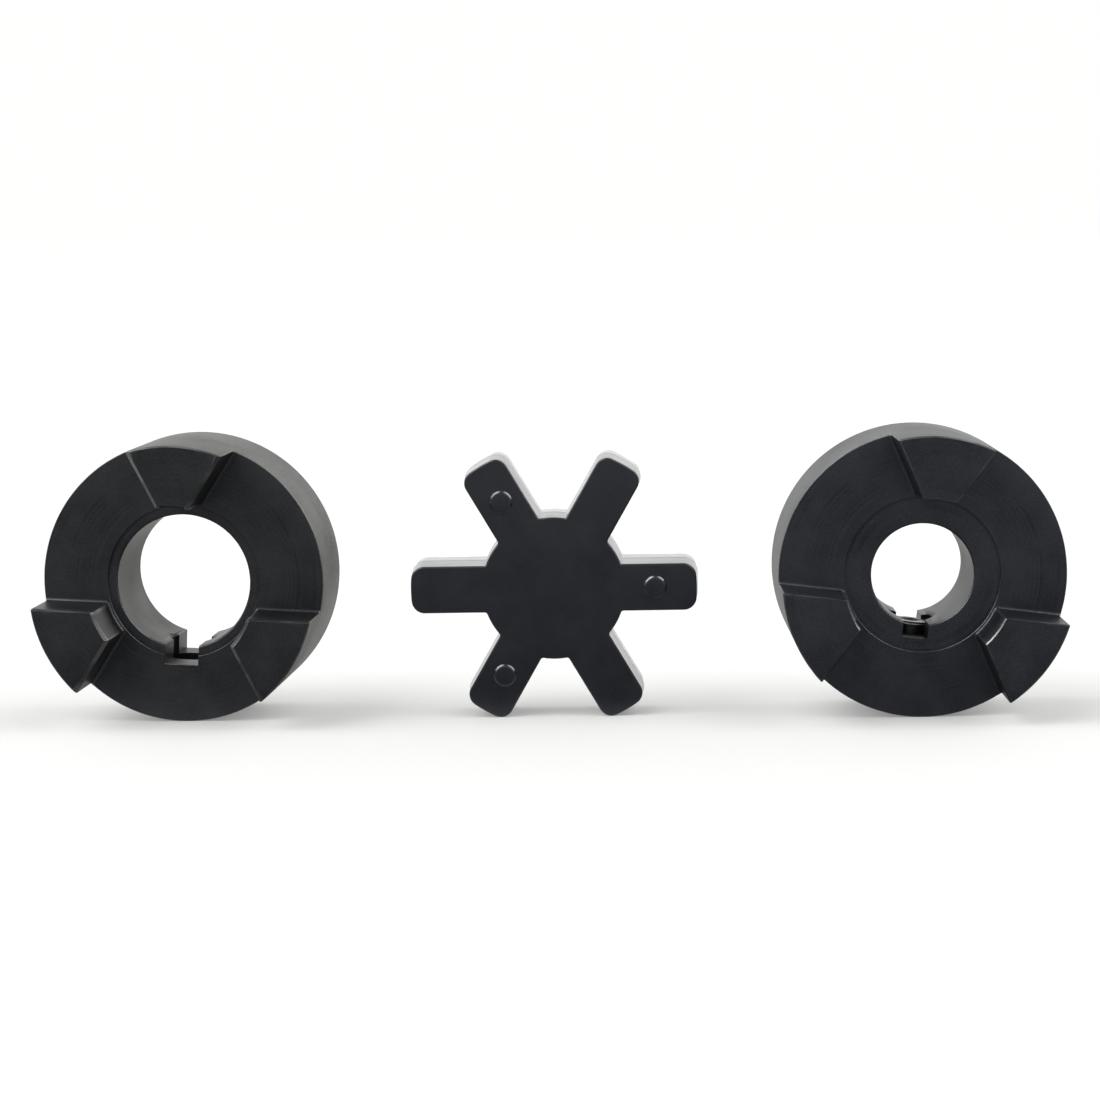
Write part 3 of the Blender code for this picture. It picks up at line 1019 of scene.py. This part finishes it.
def makeScrew(name, node, hubNode):
    recess = hub["pieces"][hubNode]["screwRecess"]
    place = hubPlace(hubNode) @ Matrix.Translation((0, recess - hub["radius"], -hub["length"] / 2))
    place = place @ Matrix.Rotation(-quarterTurn, 4, "X")
    obj = makeRod(name, screw["length"], thread["crest"], thread["root"],
                  screw["chamfer"], screw["plainPoint"])
    top, over, flare = screw["length"], screw["overrun"], screw["socketFlare"]
    profile = easedProfile([
        (0, top - screw["cupDepth"], 0), (screw["cupRadius"], top, screw["cupRound"]),
        (screw["cupRadius"] + screw["cupFlare"], top + over, 0), (0, top + over, 0),
    ])
    cup = newObject("cup", latheMesh("cup", profile, screw["steps"], closed=False))
    corner = screw["socket"] / math.sqrt(3)
    socket = newObject("socket", loftMesh("socket", [
        (hexagon(corner + flare), -over), (hexagon(corner + flare), 0),
        (hexagon(corner), flare), (hexagon(corner), screw["socketDepth"]),
    ]))
    combine(obj, [cup, socket])
    finishSurface(obj, blackSteel(name + "Steel", place), screw["flatArea"], screw["narrowEdge"])
    handIn(obj, place, node)


# Spider

spider = {
    "legs": 6,
    "turn": math.radians(-2.4),
    "legWidth": 9.4 * mm,  # at the parting line
    "tip": 27.2 * mm,
    "core": 13.75 * mm,
    "tipCorner": 2.7 * mm,
    "rootRound": 0.25 * mm,  # where a leg's side meets the middle
    "edge": 0.35 * mm,
    "draft": 0.24 * mm,
    "thickness": 11.95 * mm,
    "flash": 0.025 * mm,  # how far the parting line stands proud of the two halves
    "flashWidth": 0.1 * mm,
    "flashFlank": (0.25, 0.4),  # a point of its rounding, as shares of both
    "sideInset": 0.03 * mm,  # of the drafted side where it meets the parting line
    "shadeLevel": 0.08 * mm,  # from the parting line to the level that ends its shading
    "pipRadius": 2.2 * mm,
    "pipHeight": 0.45 * mm,
    "pipSide": 0.08 * mm,  # upright, below the slope
    "pipSideRound": 0.05 * mm,
    "pipSlope": math.radians(43),
    "pipRound": 0.45 * mm,
    "pipCircle": 19.1 * mm,
    "flatArea": 2.5 * mm * mm,
    "narrowEdge": 0.06 * mm,
    "rootSteps": 4,
    "cornerSteps": 12,
    "tipSteps": 8,
    "coreSteps": 10,
    "edgeSteps": 7,
    "pipSteps": 64,
    "pipRoundSteps": 6,
}


def spiderOutline(inset):
    # Straight legs round a solid middle, moved inwards by inset all along the edge
    half = spider["legWidth"] / 2 - inset
    tip = spider["tip"] - inset
    core = spider["core"] - inset
    corner = spider["tipCorner"] - inset
    across = half - corner
    along = math.sqrt((tip - corner) ** 2 - across**2)
    slant = math.atan2(across, along)
    bend = spider["rootRound"] + inset
    reach = core + bend
    turnIn = math.asin((half + bend) / reach)
    rootX, rootY = reach * math.cos(turnIn), reach * math.sin(turnIn)
    legPitch = fullTurn / spider["legs"]
    leg = arcPoints((rootX, -rootY), bend, halfTurn - turnIn, quarterTurn, spider["rootSteps"])
    leg += arcPoints((along, -across), corner, -quarterTurn, -slant, spider["cornerSteps"])
    leg += arcPoints((0, 0), tip, -slant, slant, spider["tipSteps"])[1:-1]
    leg += arcPoints((along, across), corner, slant, quarterTurn, spider["cornerSteps"])
    leg += arcPoints((rootX, rootY), bend, -quarterTurn, turnIn - halfTurn, spider["rootSteps"])
    leg += arcPoints((0, 0), core, turnIn, legPitch - turnIn, spider["coreSteps"])[1:-1]
    return [rotated(x, y, fullTurn * k / spider["legs"]) for k in range(spider["legs"]) for x, y in leg]


def spiderLevels():
    # From the back face to the front one, as (outline, height) over the parting line
    face = spider["thickness"] / 2
    edge, proud, width = spider["edge"], spider["flash"], spider["flashWidth"]
    half = []
    for i in range(spider["edgeSteps"] + 1):
        a = quarterTurn * i / spider["edgeSteps"]
        half.append((spider["draft"] + edge * (1 - math.sin(a)), face - edge * (1 - math.cos(a))))
    foot, lift = spider["sideInset"], spider["shadeLevel"]
    slope = (spider["draft"] - foot) / (face - edge - width)
    flankShare, heightShare = spider["flashFlank"]
    half += [(foot + slope * lift, width + lift), (foot, width)]
    half.append((proud * flankShare, width * heightShare))
    levels = [(spiderOutline(inset), -height) for inset, height in half]
    levels.append((spiderOutline(0), 0))
    levels += [(spiderOutline(inset), height) for inset, height in reversed(half)]
    return levels


def singlePip():
    face = spider["thickness"] / 2
    top, foot = face + spider["pipHeight"], face - spider["edge"]
    slopeIn = (spider["pipHeight"] - spider["pipSide"]) / math.tan(spider["pipSlope"])
    radius = spider["pipRadius"]
    profile = easedProfile([
        (0, foot, 0), (radius, foot, 0), (radius, face + spider["pipSide"], spider["pipSideRound"]),
        (radius - slopeIn, top, spider["pipRound"]), (0, top, 0),
    ], spider["pipRoundSteps"])
    return newObject("singlePip", latheMesh("singlePip", profile, spider["pipSteps"], closed=False))


def pipTree():
    # Copies the given pip on every other leg in front, and turned over on the legs between behind
    tree, given = newTree("pipsOnLegs", {
        "Circle Radius": "Float", "Pips a Side": "Int", "Pip": "Object", "Material": "Material",
    })
    pip = addNode(tree, "GeometryNodeObjectInfo", None, {"Object": given["Pip"]}).outputs["Geometry"]
    join = addNode(tree, "GeometryNodeJoinGeometry")
    ring = addNode(tree, "GeometryNodeMeshCircle", None,
                   {"Vertices": given["Pips a Side"], "Radius": given["Circle Radius"]}).outputs[0]
    front = addNode(tree, "GeometryNodeInstanceOnPoints", None,
                    {"Points": ring, "Instance": pip}).outputs[0]
    behind = front
    for rotation in ((halfTurn, 0.0, 0.0), (0.0, 0.0, fullTurn / spider["legs"])):
        behind = addNode(tree, "GeometryNodeTransform", None,
                         {"Geometry": behind, "Rotation": rotation}).outputs[0]
    for copies in (front, behind):
        tree.links.new(copies, join.inputs[0])
    return endTree(tree, join.outputs[0], given["Material"])


def makeSpider():
    low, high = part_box("spider")
    lean = math.atan2(spider["draft"], spider["thickness"] / 2)
    place = placed((low + high) / 2, spider["turn"], lean=lean)
    material = blackRubber("spiderRubber", place)
    obj = newObject("spiderRubberBody", loftMesh("spiderRubberBody", spiderLevels()))
    pip = singlePip()
    pips = grow("pips", pipTree(), {
        "Circle Radius": spider["pipCircle"], "Pips a Side": spider["legs"] // 2, "Pip": pip,
        "Material": material,
    })
    bpy.data.objects.remove(pip, do_unlink=True)
    combine(obj, [pips], "UNION")
    finishSurface(obj, material, spider["flatArea"], spider["narrowEdge"])
    handIn(obj, place, "spider")


makeCamera()
makeFloor()
makeStudio()
threads = threadTree()
makeHub("hubLeftBody", "hub_left")
makeHub("hubRightBody", "hub_right")
makeScrew("screwLeft", "set_screw_left", "hub_left")
makeScrew("screwRight", "set_screw_right", "hub_right")
makeSpider()
